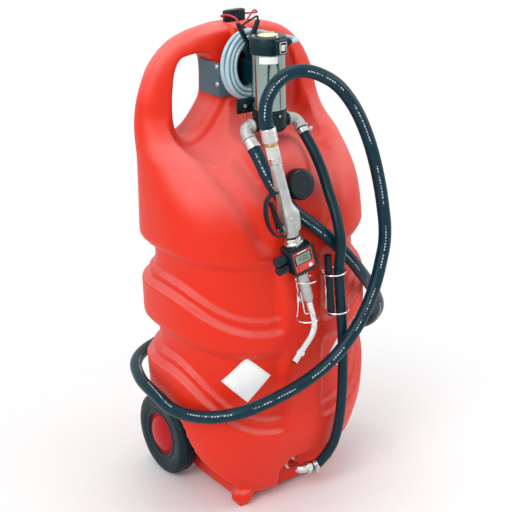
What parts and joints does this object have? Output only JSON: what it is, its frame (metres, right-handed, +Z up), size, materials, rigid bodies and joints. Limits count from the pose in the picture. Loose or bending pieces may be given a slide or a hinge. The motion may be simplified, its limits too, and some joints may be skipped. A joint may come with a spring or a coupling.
{
  "type": "oil transfer caddy",
  "caption": "Moulded trolley tank with arch handle, wheels, top pump, delivery and suction hoses, metered nozzle and coiled power lead.",
  "frame": {"origin": "on the floor, under the middle of the bounding box without the free cords", "axes": "+Z up, -Y towards the pump and the nozzle at the front, +X to the right seen from the front"},
  "size_m": [0.5997, 0.5106, 1.0861],
  "materials": {
    "red_polyethylene": "satin, rotationally moulded",
    "black_plastic": "satin",
    "black_rubber": "matt",
    "tyre_rubber": "matt",
    "grey_plastic": "matt",
    "grey_cable": "satin",
    "red_cable": "satin",
    "zinc": "zinc plated",
    "chrome_wire": "bright",
    "cast_aluminium": "cast, satin",
    "brass": "turned",
    "steel": "turned",
    "copper": "wound copper",
    "white_plate": "satin",
    "cream_disc": "satin",
    "meter_red": "satin",
    "display": "clear cover",
    "red_grip": "satin"
  },
  "bodies": {
    "caddy": {"tank": "red_polyethylene", "axle": "steel", "wheel_left_washer": "zinc", "wheel_right_washer": "zinc", "saddle_bracket": "grey_plastic", "pump_bracket": "black_plastic", "pump_base": "black_plastic", "motor_can": "steel", "motor_cap": "black_plastic", "cap_disc": "cream_disc", "motor_nameplate": "white_plate", "switch_housing": "black_plastic", "cable_gland": "black_plastic", "outlet_elbow": "zinc", "inlet_elbow": "zinc", "pump_ferrule": "zinc", "delivery_hose": "black_rubber", "nozzle_ferrule": "zinc", "swivel_ring": "brass", "suction_hose": "black_rubber", "suction_clamp_upper": "zinc", "suction_clamp_lower": "zinc", "outlet_fitting": "zinc", "wire_holder_left": "chrome_wire", "wire_holder_right": "chrome_wire", "holder_clip_left": "chrome_wire", "holder_clip_right": "chrome_wire", "rest_sleeve": "black_plastic", "nozzle_body": "cast_aluminium", "lever_guard": "black_plastic", "outlet_nut": "cast_aluminium", "meter_cover": "black_rubber", "meter_face": "meter_red", "meter_display": "display", "spout": "cast_aluminium", "spout_nut": "cast_aluminium", "cable_coil": "grey_cable", "cable_tail": "grey_cable", "lead_red": "red_cable", "lead_fuse": "red_cable", "lead_black": "black_rubber", "fuse_holder": "black_plastic", "clamp_red_right": "red_grip", "clamp_black_right": "black_plastic"},
    "cap_lift_body": {"cap_gasket": "black_rubber"},
    "cap_body": {"filler_cap": "black_plastic"},
    "wheel_left": {"wheel_left_tyre": "tyre_rubber", "wheel_left_hub": "red_polyethylene"},
    "wheel_right": {"wheel_right_tyre": "tyre_rubber", "wheel_right_hub": "red_polyethylene"},
    "rotor": {"pump_rotor": "steel", "motor_armature": "copper"},
    "rocker": {"switch_rocker": "white_plate"},
    "swivel": {"hose_swivel": "zinc"},
    "lever": {"nozzle_lever": "black_plastic"},
    "button_left": {"meter_button_left": "black_plastic"},
    "button_right": {"meter_button_right": "black_plastic"},
    "red_arm_left": {"clamp_red_left": "red_grip"},
    "black_arm_left": {"clamp_black_left": "black_plastic"}
  },
  "joints": [
    {"name": "cap_lift", "type": "slide", "parent": "caddy", "child": "cap_lift_body", "axis": [0, -0.9781, 0.2079], "range_m": [0, 0.06]},
    {"name": "cap_turn", "type": "hinge", "parent": "cap_lift_body", "child": "cap_body", "pos_m": [0, -0.172, 0.757], "axis": [0, -0.9781, 0.2079], "continuous": true},
    {"name": "wheel_left_roll", "type": "hinge", "parent": "caddy", "child": "wheel_left", "pos_m": [-0.173, 0.1367, 0.1], "axis": [1, 0, 0], "continuous": true},
    {"name": "wheel_right_roll", "type": "hinge", "parent": "caddy", "child": "wheel_right", "pos_m": [0.173, 0.1367, 0.1], "axis": [1, 0, 0], "continuous": true},
    {"name": "pump_spin", "type": "hinge", "parent": "caddy", "child": "rotor", "pos_m": [0, -0.065, 0.868], "axis": [0, 0, 1], "continuous": true},
    {"name": "switch_rock", "type": "hinge", "parent": "caddy", "child": "rocker", "pos_m": [0, -0.11605, 1.035], "axis": [1, 0, 0], "range_deg": [-14, 0]},
    {"name": "swivel_turn", "type": "hinge", "parent": "caddy", "child": "swivel", "pos_m": [-0.0805, -0.1811, 0.8634], "axis": [-0.1445, 0.1317, 0.9807], "continuous": true},
    {"name": "lever_squeeze", "type": "hinge", "parent": "caddy", "child": "lever", "pos_m": [-0.07922, -0.20528, 0.68329], "axis": [0, 0.9911, -0.133], "range_deg": [0, 9], "stiffness_Nm_per_rad": 1, "springref_deg": -14.32},
    {"name": "button_left_press", "type": "slide", "parent": "caddy", "child": "button_left", "axis": [0.1011, 0.9946, 0.0252], "range_m": [0, 0.001], "stiffness_N_per_m": 200, "springref_m": -0.001},
    {"name": "button_right_press", "type": "slide", "parent": "caddy", "child": "button_right", "axis": [0.1011, 0.9946, 0.0252], "range_m": [0, 0.001], "stiffness_N_per_m": 200, "springref_m": -0.001},
    {"name": "red_clamp_open", "type": "hinge", "parent": "caddy", "child": "red_arm_left", "pos_m": [-0.0025, 0.039, 1.0203], "axis": [0, 1, 0], "range_deg": [0, 18], "stiffness_Nm_per_rad": 1.5, "springref_deg": -11.46},
    {"name": "black_clamp_open", "type": "hinge", "parent": "caddy", "child": "black_arm_left", "pos_m": [-0.0115, -0.011, 1.0293], "axis": [0, 1, 0], "range_deg": [0, 18], "stiffness_Nm_per_rad": 1.5, "springref_deg": -11.46}
  ]
}
